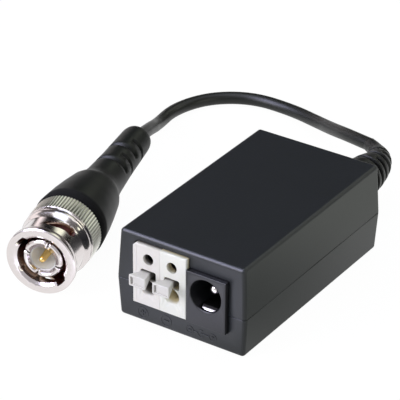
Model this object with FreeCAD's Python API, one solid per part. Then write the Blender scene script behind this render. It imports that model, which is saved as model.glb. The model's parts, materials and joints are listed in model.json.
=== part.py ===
import FreeCAD, Part

import math
import os

# Single-channel powered video balun: a two-part moulded case with a push-button wire
# terminal and a barrel power jack at its front, and a short video lead at its back that
# ends in a bayonet plug. Millimetres. The origin is the middle of the case's underside,
# +X is to the right of the front, +Y runs from the front to the back and +Z is up.

os.makedirs("parts", exist_ok=True)

# Case
case_width = 27.8
case_length = 47.4
parting_height = 8.0
wall = 1.8
floor_thickness = 1.5
roof_thickness = 1.2
roof_gap = 0.15
side_draft = 3.2
end_draft = 2.2
edge_round = 0.75
parting_chamfer = 0.15
lip_height = 1.2
lip_thickness = 0.8
case_gap = 0.1
snap_radius = 0.35
snap_length = 5.0
snap_from_middle = 12.0
post_radius = 1.5
post_from_middle = 9.4
post_front = -19.0
post_back = 14.0

# Circuit board
board_top = 4.25
board_thickness = 1.6
board_gap = 0.3
board_back = 17.5
pin_reach = 0.75
pin_hole_gap = 0.12

# Wire terminal
pitch = 5.08
block_front = -24.2
block_depth = 10.0
block_height = 12.5
first_module_left = -9.11
closing_wall = 0.55
module_wall = 0.55
module_back_wall = 1.0
module_floor = 1.1
end_plate_thickness = 0.85
end_plate_chamfer = 0.6
moulded_chamfer = 0.12
opening_gap = 0.15
wire_hole_height = 3.88
wire_mouth_radius = 1.65
wire_hole_radius = 1.15
wire_mouth_depth = 1.3
wire_hole_depth = 4.0
test_hole_height = 9.82
test_hole_radius = 1.1
test_wall = 1.4
button_height = 6.5
button_slot_width = 3.3
button_slot_height = 2.1
button_slot_round = 0.4
button_gap = 0.1
button_travel = 1.0
button_stem_left = 1.35
button_stem_right = 0.3
button_stem_top = 0.62
button_stem_bottom = 0.75
button_head_width = 3.7
button_head_rise = 0.4
button_head_height = 2.35
button_reach = 3.55
button_round = 0.2
button_foot_width = 3.7
button_foot_thickness = 0.8
button_frame = 0.4
button_recess = 0.2
button_mark_width = 0.45
button_mark_depth = 0.7
contact_width = 3.0
contact_thickness = 0.6
contact_pin_width = 0.9
spring_width = 3.4
spring_thickness = 0.3

# The roof just clears the wire terminal
case_height = board_top + block_height + roof_gap + roof_thickness

# Power jack
jack_width = 8.4
jack_centre = 5.95
jack_front = -24.53
jack_length = 13.9
jack_height = 10.6
jack_bore_height = 6.55
jack_bore_radius = 3.2
jack_bore_depth = 9.6
jack_mouth_chamfer = 0.25
jack_pin_radius = 1.0
jack_pin_setback = 2.5
jack_pin_gap = 0.02
jack_collar_radius = 1.5
jack_tail_thickness = 0.5
jack_tail_width = 1.8
jack_leaf_thickness = 0.35
jack_leaf_width = 3.0
jack_switch_width = 1.8
jack_switch_setback = 4.4
jack_leaf_setback = 0.9
jack_leaf_rise = 0.3

# Electronics
core_x, core_y = -3.6, 2.0
core_outer_radius = 4.6
core_inner_radius = 2.4
core_height = 4.2
core_round = 0.5
coil_turns = 8
coil_wire_radius = 0.25
coil_gap = 0.08
chip_x, chip_y = 6.2, -4.5
chip_length, chip_width, chip_height = 4.9, 3.9, 1.5
chip_lead_count = 4
chip_lead_pitch = 1.27
chip_lead_reach = 1.05
chip_stand_off = 0.15
capacitor_x, capacitor_y = 7.0, 6.5
capacitor_radius = 2.5
capacitor_height = 6.0
diode_x, diode_y = -9.0, -8.6
diode_length, diode_width, diode_height = 4.3, 2.6, 2.1
diode_tab = 0.5

# Strain relief of the lead
relief_x = 4.25
relief_height = 8.0
relief_neck_radius = 2.6
relief_collar_radius = 4.2
relief_collar_thickness = 1.4
relief_base_radius = 4.8
relief_base_thickness = 1.5
relief_body_radius = 4.4
relief_tip_radius = 2.05
relief_straight = 13.5
relief_bend_radius = 9.5
relief_bend = 66.0
relief_groove_width = 0.8
relief_groove_depth = 0.9
relief_groove_pitch = 2.1
relief_straight_groove_count = 4
relief_bend_groove_count = 3
relief_groove_angle = 110.0
relief_groove_sweep = 200.0

# Lead
cable_radius = 1.35
cable_bury = 1.0

# Bayonet plug, lengths along its axis from the front face of the coupling
plug_x, plug_y = -29.39, -26.22
plug_yaw = 13.8
face_radius = 6.9
face_inner_radius = 5.55
face_thickness = 1.1
face_round = 0.2
coupling_bore_radius = 4.9
coupling_mouth_depth = 0.55
barrel_radius = 6.3
barrel_start = 2.0
barrel_end = 5.7
bead_radius = 6.95
bead_start = 7.2
bead_end = 7.9
rib_groove_depth = 0.3
rib_groove_width = 0.25
rib_radius = 7.0
knurl_start = 8.6
knurl_radius = 7.05
knurl_depth = 0.22
knurl_teeth = 72
coupling_length = 12.7
coupling_flange_start = 9.9
coupling_flange_end = 11.5
coupling_rear_radius = 5.6
entry_angle = 137.0
entry_width = 23.0
entry_depth = 2.9
lug_radius = 5.7
slot_end_angle = 48.0
slot_visible_angle = 103.0
slot_drop = 2.55
slot_width = 2.05
slot_front_limit = 3.3
slot_end_station = 4.9
slot_step = 0.05
cavity_gap = 0.1

contact_outer_radius = 3.95
contact_inner_radius = 2.65
contact_chamfer = 0.3
contact_setback = 0.9
contact_slots = 4
contact_slot_angle = 69.5
contact_slot_width = 0.35
contact_slot_end = 4.6
gasket_seat_depth = 0.35
gasket_start = 5.1
gasket_step = 6.05
gasket_lip_radius = 4.7
gasket_end = 7.35
gasket_gap = 0.05
shoulder_start = 7.4
shoulder_end = 8.4
shoulder_gap = 0.09
neck_radius = 4.0
running_gap = 0.08
washer_thickness = 0.4
draw_travel = 0.8
clip_thickness = 0.5
clip_radius = 4.9
clip_groove_depth = 0.35
body_flange_start = 13.05
body_flange_end = 13.9
body_flange_radius = 5.5
body_stem_radius = 3.4
body_end = 17.0
insulator_start = 1.4
insulator_floor = 4.6
insulator_wall = 0.22
insulator_end = 12.8
insulator_gap = 0.05
pin_radius = 0.675
pin_tip_station = 0.4
pin_tip_radius = 0.45
pin_tip_taper = 0.8
pin_collar_radius = 0.95
pin_end = 12.0
ferrule_start = 13.95
ferrule_end = 22.0
ferrule_wall = 0.35
boot_rim_station = 13.9
boot_rim_radius = 7.2
boot_length = 50.3
boot_tip_round = 1.9
boot_groove_first = 34.3
boot_groove_pitch = 3.03
boot_groove_count = 4
boot_groove_width = 0.85
boot_groove_depth = 0.85
boot_groove_sweep = 230.0
boot_groove_angle = 131.0

# Stations and radii of the boot's outside behind its rim
boot_outline = [(16.0, 7.0), (19.0, 6.65), (22.0, 6.18), (25.8, 5.45), (26.6, 5.15), (27.6, 4.65),
                (29.0, 4.25), (31.0, 3.98), (38.0, 3.55), (48.0, 3.2)]

# Middle line of the lead, from the tip of the plug's boot to the tip of the strain relief
cable_route = [(-41.4, 22.6, 8.0), (-43.9, 30.1, 5.8), (-47.6, 37.9, 2.1), (-49.5, 47.1, 1.35),
               (-46.1, 55.7, 1.35), (-38.4, 60.9, 1.35), (-28.6, 60.8, 1.35), (-19.5, 57.3, 2.4),
               (-13.7, 52.6, 4.8), (-7.4, 48.2, 7.2), (-1.4, 45.9, 8.0)]

X_AXIS = FreeCAD.Vector(1, 0, 0)
Y_AXIS = FreeCAD.Vector(0, 1, 0)
Z_AXIS = FreeCAD.Vector(0, 0, 1)
ORIGIN = FreeCAD.Vector(0, 0, 0)


def export(name, shape):
    if not shape.isValid() or not shape.Solids:
        print("check the solid of", name)
    shape.exportStep("parts/" + name + ".step")
    print(name, "solids", len(shape.Solids), "volume %.2f" % shape.Volume)


def block(x0, x1, y0, y1, z0, z1):
    return Part.makeBox(x1 - x0, y1 - y0, z1 - z0, FreeCAD.Vector(x0, y0, z0))


def rod(x, y, z, radius, length, axis=Y_AXIS):
    return Part.makeCylinder(radius, length, FreeCAD.Vector(x, y, z), axis)


def face_of(points):
    corners = [FreeCAD.Vector(*p) for p in points]
    return Part.Face(Part.makePolygon(corners + corners[:1]))


def turned(outline):
    """Solid of revolution about the Y axis from (station, radius) corners."""
    return face_of([(radius, station, 0) for station, radius in outline]).revolve(ORIGIN, Y_AXIS, 360)


def tube(outer, inner, start, end):
    return turned([(start, inner), (start, outer), (end, outer), (end, inner)])


def strip_outline(path, thickness):
    """Outline, in a plane, of a bent strip whose middle line is path."""
    half = thickness / 2
    sides = [[], []]
    for i, (a, b) in enumerate(path):
        ahead = path[min(i + 1, len(path) - 1)]
        behind = path[max(i - 1, 0)]
        turns = []
        for (a0, b0), (a1, b1) in ((behind, (a, b)), ((a, b), ahead)):
            length = math.hypot(a1 - a0, b1 - b0)
            if length > 0:
                turns.append((-(b1 - b0) / length, (a1 - a0) / length))
        na = sum(t[0] for t in turns) / len(turns)
        nb = sum(t[1] for t in turns) / len(turns)
        reach = half / (na * na + nb * nb)
        sides[0].append((a + na * reach, b + nb * reach))
        sides[1].append((a - na * reach, b - nb * reach))
    return sides[0] + sides[1][::-1]


def bent_strip(path, thickness, x_middle, width):
    """Sheet strip bent in the YZ plane and centred on x_middle."""
    outline = strip_outline(path, thickness)
    sheet = face_of([(x_middle - width / 2, y, z) for y, z in outline])
    return sheet.extrude(X_AXIS * width)


def only_solid(shape):
    return shape.Solids[0] if len(shape.Solids) == 1 else shape


# The case


def case_rectangle(height, inset):
    """Half width and half length of the case at a height, less an inset from its outside."""
    away = abs(height - parting_height)
    half_width = case_width / 2 - away * math.tan(math.radians(side_draft)) - inset
    half_length = case_length / 2 - away * math.tan(math.radians(end_draft)) - inset
    return half_width, half_length


def drafted_block(low, high, inset):
    wires = []
    for height in (low, high):
        half_width, half_length = case_rectangle(height, inset)
        corners = [FreeCAD.Vector(x * half_width, y * half_length, height)
                   for x, y in ((-1, -1), (1, -1), (1, 1), (-1, 1))]
        wires.append(Part.makePolygon(corners + corners[:1]))
    return Part.makeLoft(wires, True, True)


def rounded_off_parting(solid):
    edges = [e for e in solid.Edges
             if any(abs(v.Point.z - parting_height) > 0.01 for v in e.Vertexes)]
    solid = solid.makeFillet(edge_round, edges)
    parting = [e for e in solid.Edges
               if all(abs(v.Point.z - parting_height) < 0.001 for v in e.Vertexes)]
    return solid.makeChamfer(parting_chamfer, parting)


def without_corner(x0, x1, y0, y1, z0, z1, size):
    """Block whose upper left edge, along Y, is cut off."""
    solid = block(x0, x1, y0, y1, z0, z1)
    edges = [e for e in solid.Edges
             if all(abs(v.Point.x - x0) < 0.001 and abs(v.Point.z - z1) < 0.001 for v in e.Vertexes)]
    return solid.makeChamfer(size, edges)


def front_chamfered(solid, front):
    """Solid with a small chamfer round its flat front face."""
    edges = [e for e in solid.Edges if all(abs(v.Point.y - front) < 0.001 for v in e.Vertexes)]
    return solid.makeChamfer(moulded_chamfer, edges)


case_half_length = case_length / 2
block_right = first_module_left + 2 * pitch + closing_wall
block_left = first_module_left - end_plate_thickness
block_top = board_top + block_height
block_back = block_front + block_depth
jack_left = jack_centre - jack_width / 2
jack_right = jack_centre + jack_width / 2
jack_back = jack_front + jack_length
jack_bore_z = board_top + jack_bore_height
board_bottom = board_top - board_thickness
board_half_width = case_rectangle(board_bottom, wall + board_gap)[0]
board_front = -case_rectangle(board_bottom, wall + board_gap)[1]


def lip(extra):
    """The raised tongue of the lower shell, or the rebate for it when extra is the gap."""
    top = parting_height + lip_height + extra
    return drafted_block(parting_height, top, wall - lip_thickness - extra).cut(
        drafted_block(parting_height, top, wall))


def snap_beads(radius):
    beads = []
    height = parting_height + lip_height / 2
    half_width = case_rectangle(height, wall - lip_thickness)[0]
    for side in (-1, 1):
        for end in (-1, 1):
            start = end * snap_from_middle - snap_length / 2
            beads.append(rod(side * half_width, start, height, radius, snap_length))
    return beads


def front_openings():
    inner = -case_half_length + wall + lip_thickness
    outer = -case_half_length - wall
    bottom = board_top - opening_gap
    terminal = without_corner(block_left - opening_gap, block_right + opening_gap, outer, inner,
                              bottom, block_top + opening_gap, end_plate_chamfer)
    jack = block(jack_left - opening_gap, jack_right + opening_gap, outer, inner,
                 bottom, board_top + jack_height + opening_gap)
    return [terminal, jack]


def relief_hole():
    return rod(relief_x, case_half_length - 2 * wall, relief_height,
               relief_neck_radius + case_gap, 4 * wall)


def upper_shell():
    shell = rounded_off_parting(drafted_block(parting_height, case_height, 0))
    shell = shell.cut(drafted_block(parting_height, case_height - roof_thickness, wall))
    shell = shell.cut(lip(case_gap))
    for pocket in snap_beads(snap_radius + case_gap):
        shell = shell.cut(pocket)
    for x in (-post_from_middle, post_from_middle):
        foot = board_top + case_gap
        head = case_height - roof_thickness / 2
        shell = shell.fuse(rod(x, post_back, foot, post_radius, head - foot, Z_AXIS))
    for opening in front_openings():
        shell = shell.cut(opening)
    return only_solid(shell.cut(relief_hole()))


def lower_shell():
    shell = rounded_off_parting(drafted_block(0, parting_height, 0))
    shell = shell.cut(drafted_block(floor_thickness, parting_height, wall))
    shell = shell.fuse(lip(0))
    beads = snap_beads(snap_radius)
    outside = drafted_block(parting_height, parting_height + lip_height, wall - lip_thickness - snap_radius)
    for bead in beads:
        shell = shell.fuse(bead.common(outside))
    for x in (-post_from_middle, post_from_middle):
        for y in (post_front, post_back):
            post = rod(x, y, floor_thickness / 2, post_radius, board_bottom - floor_thickness / 2, Z_AXIS)
            shell = shell.fuse(post)
    for opening in front_openings():
        shell = shell.cut(opening)
    return only_solid(shell.cut(relief_hole()).removeSplitter())


export("upper_shell", upper_shell())
export("lower_shell", lower_shell())

# Wire terminal. Each module is open on its left, and its neighbour closes it.

chamber_back = block_back - module_back_wall
chamber_front = block_front + wire_hole_depth
test_chamber_front = block_front + test_wall
wire_z = board_top + wire_hole_height
test_z = board_top + test_hole_height
button_z = board_top + button_height
chamber_bottom = board_top + module_floor
chamber_top = block_top - module_floor
chamber_split = button_z + button_slot_height / 2 + module_wall
contact_front = chamber_back - contact_thickness
contact_z_top = chamber_split - module_wall
pin_bottom = board_bottom - pin_reach


def pin_slot(x, y, z0, z1, width, depth):
    """Hole for a flat pin centred on x, y, with the pin's gap all round."""
    gap = pin_hole_gap
    return block(x - width / 2 - gap, x + width / 2 + gap, y - depth / 2 - gap, y + depth / 2 + gap, z0, z1)


def rounded_slot(x, y0, y1, z, width, height, radius):
    slot = block(x - width / 2, x + width / 2, y0, y1, z - height / 2, z + height / 2)
    edges = [e for e in slot.Edges if abs(e.Vertexes[0].Point.y - e.Vertexes[-1].Point.y) > 0.001]
    return slot.makeFillet(radius, edges)


def terminal_module(left, extra):
    x = left + pitch / 2
    right = left + pitch
    body = block(left, right + extra, block_front, block_back, board_top, block_top)
    body = front_chamfered(body, block_front)
    body = body.cut(block(left, right - module_wall, chamber_front, chamber_back, chamber_bottom, chamber_top))
    body = body.cut(block(left, right - module_wall, test_chamber_front, chamber_back,
                          chamber_split, chamber_top))
    mouth = Part.makeCone(wire_mouth_radius, wire_hole_radius, wire_mouth_depth,
                          FreeCAD.Vector(x, block_front, wire_z), Y_AXIS)
    body = body.cut(mouth)
    body = body.cut(rod(x, block_front, wire_z, wire_hole_radius, wire_hole_depth + module_wall))
    body = body.cut(rod(x, block_front, test_z, test_hole_radius, test_wall + module_wall))
    body = body.cut(rounded_slot(x, block_front - 1, chamber_front + module_wall, button_z,
                                 button_slot_width, button_slot_height, button_slot_round))
    foot = contact_front + contact_thickness / 2
    body = body.cut(pin_slot(x, foot, board_top, chamber_bottom + module_wall,
                             contact_pin_width, contact_thickness))
    return only_solid(body)


def button(x):
    """Push button: a framed head that tapers to a stem in the slot, and a foot that keeps it in."""
    front = block_front - button_reach
    half_width = button_head_width / 2
    bottom = button_z + button_head_rise - button_head_height / 2
    top = bottom + button_head_height
    stem = (x - button_stem_left, x + button_stem_right,
            button_z - button_stem_bottom, button_z + button_stem_top)
    sections = []
    for y, (x0, x1, z0, z1) in ((front, (x - half_width, x + half_width, bottom, top)),
                                (block_front, stem)):
        corners = [FreeCAD.Vector(*p) for p in ((x0, y, z0), (x1, y, z0), (x1, y, z1), (x0, y, z1))]
        sections.append(Part.makePolygon(corners + corners[:1]))
    head = Part.makeLoft(sections, True, True)
    rounded = [e for e in head.Edges if any(abs(v.Point.y - front) < 0.001 for v in e.Vertexes)]
    head = head.makeFillet(button_round, rounded)
    frame = button_frame
    head = head.cut(block(x - half_width + frame, x + half_width - frame, front - 1,
                          front + button_recess, bottom + frame, top - frame))
    head = head.cut(block(x - half_width + frame, x - half_width + frame + button_mark_width, front - 1,
                          front + button_mark_depth, bottom + frame, top - frame))
    foot_front = chamber_front + button_gap
    foot_back = foot_front + button_foot_thickness
    rod_in_slot = block(stem[0], stem[1], block_front, foot_back, stem[2], stem[3])
    foot = block(x - button_foot_width / 2, x + button_foot_width / 2, foot_front, foot_back,
                 button_z - button_slot_height / 2, button_z + button_slot_height / 2)
    return only_solid(head.fuse(rod_in_slot).fuse(foot).removeSplitter())


def clamp_spring(x):
    """Bent steel leaf: it backs on the contact bar, loops over and presses on the wire's seat."""
    back = contact_front - spring_thickness / 2 - button_gap / 2
    front = chamber_front + button_foot_thickness + 2 * button_gap + spring_thickness / 2
    top = contact_z_top - spring_thickness
    bend = 0.6
    path = [(back, button_z - 0.6), (back, top - bend), (back - bend, top), (front + bend, top),
            (front, top - bend), (front, button_z - 0.5), (back - 1.2, wire_z + 0.3),
            (back - 0.4, wire_z - 0.2)]
    return bent_strip(path, spring_thickness, x, spring_width)


def contact_bar(x):
    half = contact_width / 2
    bar = block(x - half, x + half, contact_front, chamber_back, chamber_bottom, contact_z_top)
    pin = block(x - contact_pin_width / 2, x + contact_pin_width / 2, contact_front, chamber_back,
                pin_bottom, chamber_bottom)
    return only_solid(bar.fuse(pin).removeSplitter())


terminal_x = [first_module_left + (i + 0.5) * pitch for i in range(2)]
for side, x, extra in (("left", terminal_x[0], 0), ("right", terminal_x[1], closing_wall)):
    export("terminal_module_" + side, terminal_module(x - pitch / 2, extra))
    export("button_" + side, button(x))
    export("clamp_spring_" + side, clamp_spring(x))
    export("contact_bar_" + side, contact_bar(x))

plate = without_corner(block_left, first_module_left, block_front, block_back, board_top, block_top,
                       end_plate_chamfer)
export("terminal_end_plate", front_chamfered(plate, block_front))

# Power jack

jack_top = board_top + jack_height
leaf_pocket_top = jack_bore_z - jack_bore_radius + 0.7
leaf_pocket_bottom = leaf_pocket_top - 2.6
leaf_tail_y = jack_back - 1.6
switch_x = jack_centre + jack_bore_radius + 0.15
switch_tail_y = jack_back - 3.4
bore_end = jack_front + jack_bore_depth


def jack_housing():
    body = block(jack_left, jack_right, jack_front, jack_back, board_top, jack_top)
    body = front_chamfered(body, jack_front)
    body = body.cut(rod(jack_centre, jack_front, jack_bore_z, jack_bore_radius, jack_bore_depth))
    body = body.cut(Part.makeCone(jack_bore_radius + jack_mouth_chamfer, jack_bore_radius,
                                  jack_mouth_chamfer,
                                  FreeCAD.Vector(jack_centre, jack_front, jack_bore_z), Y_AXIS))
    body = body.cut(rod(jack_centre, bore_end, jack_bore_z, jack_collar_radius + jack_pin_gap, jack_length))
    half = jack_leaf_width / 2 + button_gap
    body = body.cut(block(jack_centre - half, jack_centre + half, jack_front + jack_leaf_setback - button_gap,
                          jack_back - 1.0,
                          leaf_pocket_bottom, leaf_pocket_top))
    body = body.cut(pin_slot(jack_centre, leaf_tail_y, board_top, leaf_pocket_bottom,
                             jack_tail_width, jack_leaf_thickness))
    switch_half = jack_switch_width / 2 + button_gap
    body = body.cut(block(switch_x - 0.6, switch_x + 0.45, jack_front + jack_switch_setback - 4 * button_gap,
                          switch_tail_y + 0.5,
                          jack_bore_z - switch_half, jack_bore_z + switch_half))
    body = body.cut(pin_slot(switch_x + 0.1, switch_tail_y, board_top, jack_bore_z,
                             jack_leaf_thickness, jack_switch_width))
    return only_solid(body)


def jack_centre_pin():
    tip = jack_front + jack_pin_setback
    back = jack_back + 0.05
    pin = turned([(tip, 0), (tip, 0.55), (tip + 0.25, 0.85), (tip + 0.6, jack_pin_radius),
                  (bore_end, jack_pin_radius), (bore_end, jack_collar_radius),
                  (back, jack_collar_radius), (back, 0)])
    pin.translate(FreeCAD.Vector(jack_centre, 0, jack_bore_z))
    half = jack_tail_width / 2
    tail = block(jack_centre - half, jack_centre + half, back, back + jack_tail_thickness,
                 pin_bottom, jack_bore_z + half)
    return only_solid(pin.fuse(tail).removeSplitter())


def jack_spring_contact():
    low = leaf_pocket_bottom + jack_leaf_thickness / 2 + 0.05
    high = jack_bore_z - jack_bore_radius + jack_leaf_rise
    tip = jack_front + jack_leaf_setback
    path = [(leaf_tail_y, low), (leaf_tail_y - 2.0, low), (tip + 2.0, high), (tip + 0.9, high),
            (tip + 0.2, high - 0.8)]
    leaf = bent_strip(path, jack_leaf_thickness, jack_centre, jack_leaf_width)
    tail = block(jack_centre - jack_tail_width / 2, jack_centre + jack_tail_width / 2,
                 leaf_tail_y - jack_leaf_thickness / 2, leaf_tail_y + jack_leaf_thickness / 2,
                 pin_bottom, low)
    return only_solid(leaf.fuse(tail).removeSplitter())


def jack_switch_contact():
    """Side contact: a flat strip along the bore that a tail joins to the board."""
    half = jack_switch_width / 2
    strip = block(switch_x - 0.2, switch_x - 0.2 + jack_leaf_thickness,
                  jack_front + jack_switch_setback, switch_tail_y,
                  jack_bore_z - half, jack_bore_z + half)
    tail = block(switch_x + 0.1 - jack_leaf_thickness / 2, switch_x + 0.1 + jack_leaf_thickness / 2,
                 switch_tail_y - half, switch_tail_y + half, pin_bottom, jack_bore_z)
    foot = block(switch_x - 0.2, switch_x + 0.1, switch_tail_y - half, switch_tail_y,
                 jack_bore_z - half, jack_bore_z)
    return only_solid(strip.fuse(tail).fuse(foot).removeSplitter())


export("jack_housing", jack_housing())
export("jack_centre_pin", jack_centre_pin())
export("jack_spring_contact", jack_spring_contact())
export("jack_switch_contact", jack_switch_contact())

# Circuit board and what stands on it


def circuit_board():
    board = block(-board_half_width, board_half_width, board_front, board_back, board_bottom, board_top)
    pin_y = contact_front + contact_thickness / 2
    for x in terminal_x:
        board = board.cut(pin_slot(x, pin_y, board_bottom, board_top, contact_pin_width, contact_thickness))
    tail_y = jack_back + 0.05 + jack_tail_thickness / 2
    board = board.cut(pin_slot(jack_centre, tail_y, board_bottom, board_top,
                               jack_tail_width, jack_tail_thickness))
    board = board.cut(pin_slot(jack_centre, leaf_tail_y, board_bottom, board_top,
                               jack_tail_width, jack_leaf_thickness))
    board = board.cut(pin_slot(switch_x + 0.1, switch_tail_y, board_bottom, board_top,
                               jack_leaf_thickness, jack_switch_width))
    return only_solid(board)


core_bottom = board_top + 2 * coil_wire_radius + coil_gap


def balun_core():
    half = core_height / 2
    corner = core_round
    ring = [(-half, core_inner_radius + corner), (-half, core_outer_radius - corner),
            (-half + corner, core_outer_radius), (half - corner, core_outer_radius),
            (half, core_outer_radius - corner), (half, core_inner_radius + corner),
            (half - corner, core_inner_radius), (-half + corner, core_inner_radius)]
    core = face_of([(radius, 0, height) for height, radius in ring]).revolve(ORIGIN, Z_AXIS, 360)
    core.translate(FreeCAD.Vector(core_x, core_y, core_bottom + half))
    return core


def balun_winding():
    """One wire wound round the ring core: each turn goes over, down, under and up."""
    off = coil_wire_radius + coil_gap
    low = core_bottom - off
    high = core_bottom + core_height + off
    outer = core_outer_radius + off
    inner = core_inner_radius - off
    step = 2 * math.pi / (coil_turns + 2)
    corners = []
    for turn in range(coil_turns):
        angle = turn * step
        for radius, height, share in ((outer, low, 0.0), (outer, high, 0.0), (inner, high, 0.5),
                                      (inner, low, 0.5)):
            a = angle + share * step
            corners.append(FreeCAD.Vector(core_x + radius * math.cos(a), core_y + radius * math.sin(a), height))
    corners.pop()
    path = Part.makePolygon(corners)
    profile = Part.Wire(Part.Circle(corners[0], corners[1] - corners[0], coil_wire_radius).toShape())
    return only_solid(path.makePipeShell([profile], True, False, 1))


def amplifier_chip():
    low = board_top + chip_stand_off
    half_length = chip_length / 2
    half_width = chip_width / 2
    chip = block(chip_x - half_length, chip_x + half_length, chip_y - half_width, chip_y + half_width,
                 low, low + chip_height)
    middle = low + chip_height / 2
    lead = 0.2
    for side in (-1, 1):
        path = [(chip_y + side * (half_width - lead), middle),
                (chip_y + side * (half_width + 0.35), middle),
                (chip_y + side * (half_width + 0.5), board_top + lead / 2),
                (chip_y + side * (half_width + chip_lead_reach), board_top + lead / 2)]
        for i in range(chip_lead_count):
            x = chip_x + (i - (chip_lead_count - 1) / 2) * chip_lead_pitch
            chip = chip.fuse(bent_strip(path, lead, x, 2 * lead))
    return only_solid(chip.removeSplitter())


def smoothing_capacitor():
    """Aluminium can with a crimped waist near its base and a rounded top edge."""
    radius = capacitor_radius
    can = [(0, 0), (radius, 0), (radius, 0.8), (radius - 0.25, 1.1), (radius - 0.25, 1.3), (radius, 1.6),
           (radius, capacitor_height - 0.4), (radius - 0.4, capacitor_height), (0, capacitor_height)]
    solid = face_of([(r, 0, z) for r, z in can]).revolve(ORIGIN, Z_AXIS, 360)
    solid.translate(FreeCAD.Vector(capacitor_x, capacitor_y, board_top))
    return solid


def surge_diode():
    half_length = diode_length / 2
    half_width = diode_width / 2
    body = block(diode_x - half_width, diode_x + half_width, diode_y - half_length, diode_y + half_length,
                 board_top, board_top + diode_height)
    for side in (-1, 1):
        y0, y1 = sorted((diode_y + side * half_length, diode_y + side * (half_length + diode_tab)))
        body = body.fuse(block(diode_x - half_width / 2, diode_x + half_width / 2, y0, y1,
                               board_top, board_top + diode_height / 2))
    return only_solid(body.removeSplitter())


export("circuit_board", circuit_board())
export("balun_core", balun_core())
export("balun_winding", balun_winding())
export("amplifier_chip", amplifier_chip())
export("smoothing_capacitor", smoothing_capacitor())
export("surge_diode", surge_diode())

# Strain relief of the lead, held between the two shells


def arc_cutter(radius, depth, width, middle_angle, sweep):
    """Part ring round the Y axis that cuts a groove over a sweep of the circle."""
    outer = radius + depth
    ring = face_of([(radius - depth, -width / 2, 0), (outer, -width / 2, 0),
                    (outer, width / 2, 0), (radius - depth, width / 2, 0)])
    start = middle_angle - sweep / 2
    ring.rotate(ORIGIN, Y_AXIS, -start)
    return ring.revolve(ORIGIN, Y_AXIS, -sweep)


def relief_place(distance):
    """Placement on the strain relief's middle line at a distance from the case's back."""
    if distance <= relief_straight:
        return FreeCAD.Placement(FreeCAD.Vector(relief_x, case_half_length + distance, relief_height),
                                 FreeCAD.Rotation())
    turn = (distance - relief_straight) / relief_bend_radius
    y = case_half_length + relief_straight + relief_bend_radius * math.sin(turn)
    x = relief_x - relief_bend_radius * (1 - math.cos(turn))
    return FreeCAD.Placement(FreeCAD.Vector(x, y, relief_height),
                             FreeCAD.Rotation(Z_AXIS, math.degrees(turn)))


relief_length = relief_straight + relief_bend_radius * math.radians(relief_bend)


def relief_radius(distance):
    if distance <= relief_straight:
        return relief_body_radius
    share = (distance - relief_straight) / (relief_length - relief_straight)
    return relief_body_radius + (relief_tip_radius - relief_body_radius) * share ** 0.9


def cable_grommet():
    seat = case_half_length + case_gap / 4
    inside = case_rectangle(relief_height + relief_collar_radius, wall + case_gap / 2)[1]
    straight = [(inside - relief_collar_thickness, 0),
                (inside - relief_collar_thickness, relief_collar_radius),
                (inside, relief_collar_radius), (inside, relief_neck_radius),
                (seat, relief_neck_radius), (seat, relief_base_radius),
                (seat + relief_base_thickness - 0.3, relief_base_radius),
                (seat + relief_base_thickness, relief_base_radius - 0.3),
                (seat + relief_base_thickness, relief_body_radius),
                (case_half_length + relief_straight, relief_body_radius),
                (case_half_length + relief_straight, 0)]
    sleeve = turned(straight)
    sleeve.translate(FreeCAD.Vector(relief_x, 0, relief_height))
    sections = []
    steps = 6
    for i in range(steps + 1):
        distance = relief_straight + (relief_length - relief_straight) * i / steps
        place = relief_place(distance)
        circle = Part.Circle(place.Base, place.Rotation.multVec(Y_AXIS), relief_radius(distance))
        sections.append(Part.Wire(circle.toShape()))
    sleeve = sleeve.fuse(Part.makeLoft(sections, True, False))
    count = relief_straight_groove_count + relief_bend_groove_count
    first = relief_straight - (relief_straight_groove_count - 0.5) * relief_groove_pitch
    for i in range(count):
        distance = first + i * relief_groove_pitch
        middle = relief_groove_angle - 180 * (i % 2)
        cutter = arc_cutter(relief_radius(distance), relief_groove_depth, relief_groove_width, middle,
                            relief_groove_sweep)
        cutter.Placement = relief_place(distance)
        sleeve = sleeve.cut(cutter)
    return only_solid(sleeve)


export("cable_grommet", cable_grommet())

# Bayonet plug, modelled along Y from its front face and then laid on the floor so that
# it rests on the edge of the coupling and on the rim of the boot

plug_tilt = math.degrees(math.atan2(boot_rim_radius - face_radius, boot_rim_station))
plug_height = face_radius * math.cos(math.radians(plug_tilt))
plug_place = FreeCAD.Placement(
    FreeCAD.Vector(plug_x, plug_y, plug_height),
    FreeCAD.Rotation(Z_AXIS, plug_yaw).multiply(FreeCAD.Rotation(X_AXIS, plug_tilt)))


def export_on_plug(name, shape):
    solid = only_solid(shape)
    solid.Placement = plug_place.multiply(solid.Placement)
    export(name, solid)


def at_angle(radius, station, angle):
    turn = math.radians(angle)
    return FreeCAD.Vector(radius * math.cos(turn), station, radius * math.sin(turn))


def swept_sector(inner, outer, edges):
    """Cutter between two radii whose front and rear stations change with the angle."""
    wires = []
    for angle, front, rear in edges:
        corners = [at_angle(inner, front, angle), at_angle(outer, front, angle),
                   at_angle(outer, rear, angle), at_angle(inner, rear, angle)]
        wires.append(Part.makePolygon(corners + corners[:1]))
    return Part.makeLoft(wires, True, True)


def ramp_rear(angle):
    """Rear edge of the track, which flattens out towards its end hole."""
    share = (angle - slot_end_angle) / (slot_visible_angle - slot_end_angle)
    return slot_end_station + slot_width / 2 - slot_drop * (1 - math.cos(math.pi / 2 * share))


cavity_start = slot_end_station + slot_width / 2 + cavity_gap / 2


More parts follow.
